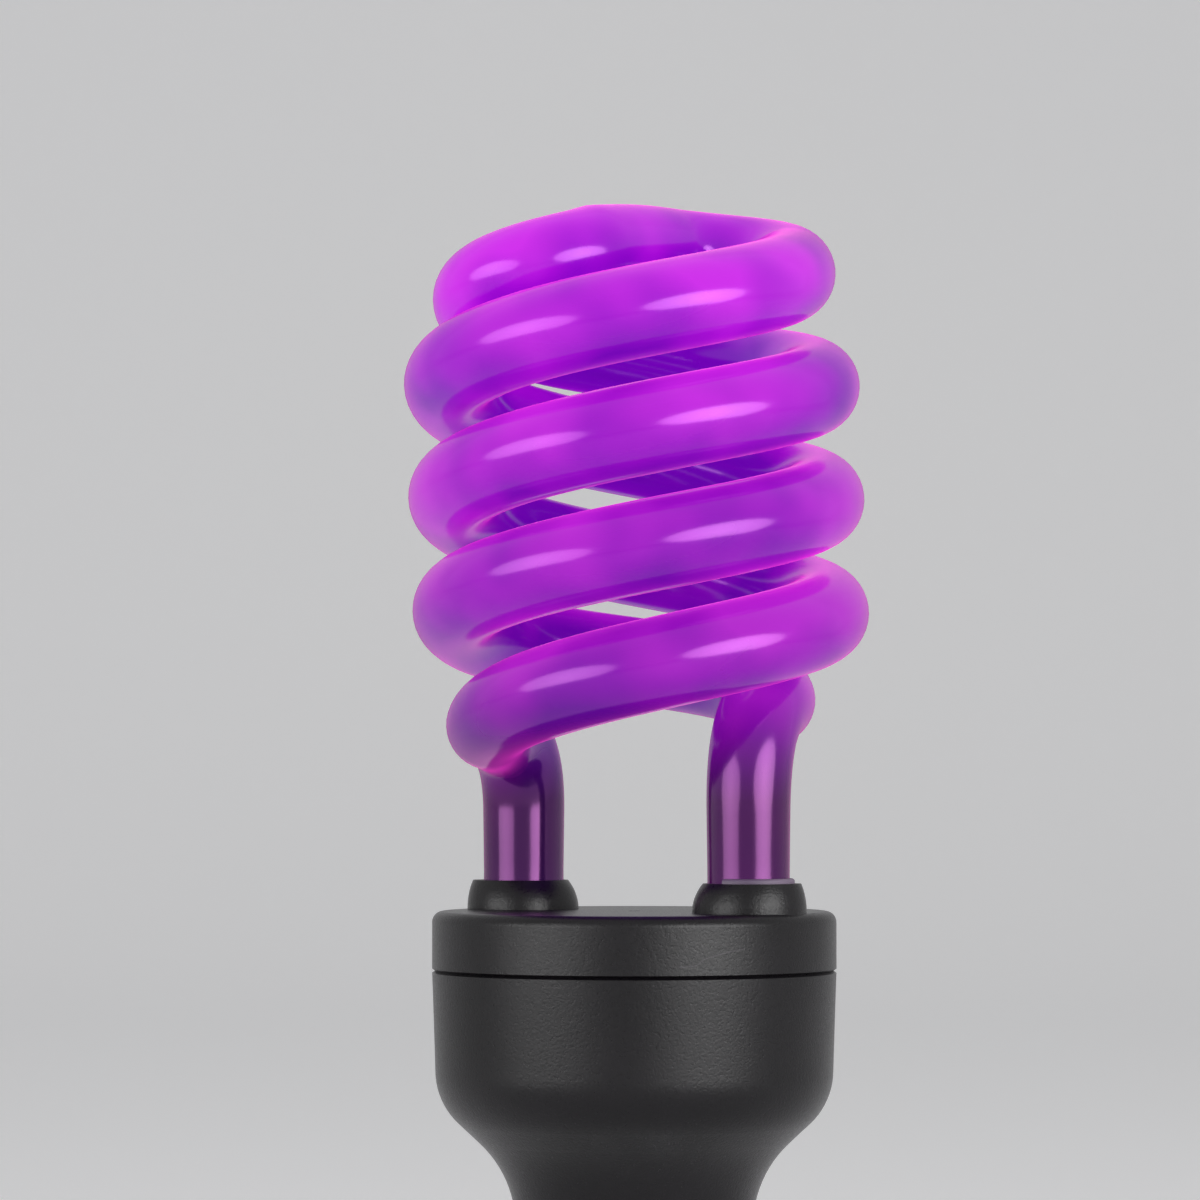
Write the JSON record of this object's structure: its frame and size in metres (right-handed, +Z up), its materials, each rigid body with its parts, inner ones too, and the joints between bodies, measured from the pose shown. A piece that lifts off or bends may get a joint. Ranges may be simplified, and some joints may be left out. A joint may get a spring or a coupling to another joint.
{
  "type": "insect trap bulb",
  "caption": "Spiral black-light lamp for an insect trap: a coiled violet glass tube on a black ballast housing with a screw cap.",
  "frame": {"origin": "on the lamp's axis, at the foot of the centre contact", "axes": "+Z up the lamp towards the coil's top, +X towards the right leg, the lamp seen from -Y"},
  "size_m": [0.0559, 0.0548, 0.1499],
  "materials": {
    "lit_tube": "lit violet, glossy",
    "black_plastic": "fine spark-eroded matt texture",
    "cement": "matt white silicone",
    "cap_metal": "bright drawn sheet",
    "cap_glass": "dark fused glass",
    "contact_brass": "bright stamped",
    "solder": "dull tin",
    "board": "paper laminate",
    "bare_wire": "drawn",
    "can": "sleeved can",
    "ferrite": "matt ferrite",
    "bobbin_plastic": "moulded",
    "copper": "lacquered copper wire",
    "film_dip": "dipped",
    "component_black": "moulded",
    "resistor_body": "lacquered",
    "wire_cover": "soft insulation"
  },
  "bodies": {
    "root": {"discharge_tube": "lit_tube", "tube_cover": "black_plastic", "ballast_housing": "black_plastic", "leg_cement_left": "cement", "leg_cement_right": "cement", "screw_shell": "cap_metal", "cap_insulator": "cap_glass", "centre_contact": "contact_brass", "contact_solder": "solder", "circuit_board": "board", "wrap_pins": "contact_brass", "lead_wire_left_inner": "bare_wire", "lead_wire_left_outer": "bare_wire", "lead_wire_right_inner": "bare_wire", "lead_wire_right_outer": "bare_wire", "smoothing_capacitor": "can", "choke_core": "ferrite", "choke_bobbin": "bobbin_plastic", "choke_winding": "copper", "starting_capacitor": "film_dip", "coupling_capacitor": "film_dip", "transistor_upper": "component_black", "transistor_lower": "component_black", "drive_toroid": "ferrite", "rectifier_diodes": "component_black", "resistors": "resistor_body", "fusible_resistor": "resistor_body", "live_wire": "wire_cover", "neutral_wire": "wire_cover"}
  },
  "joints": []
}
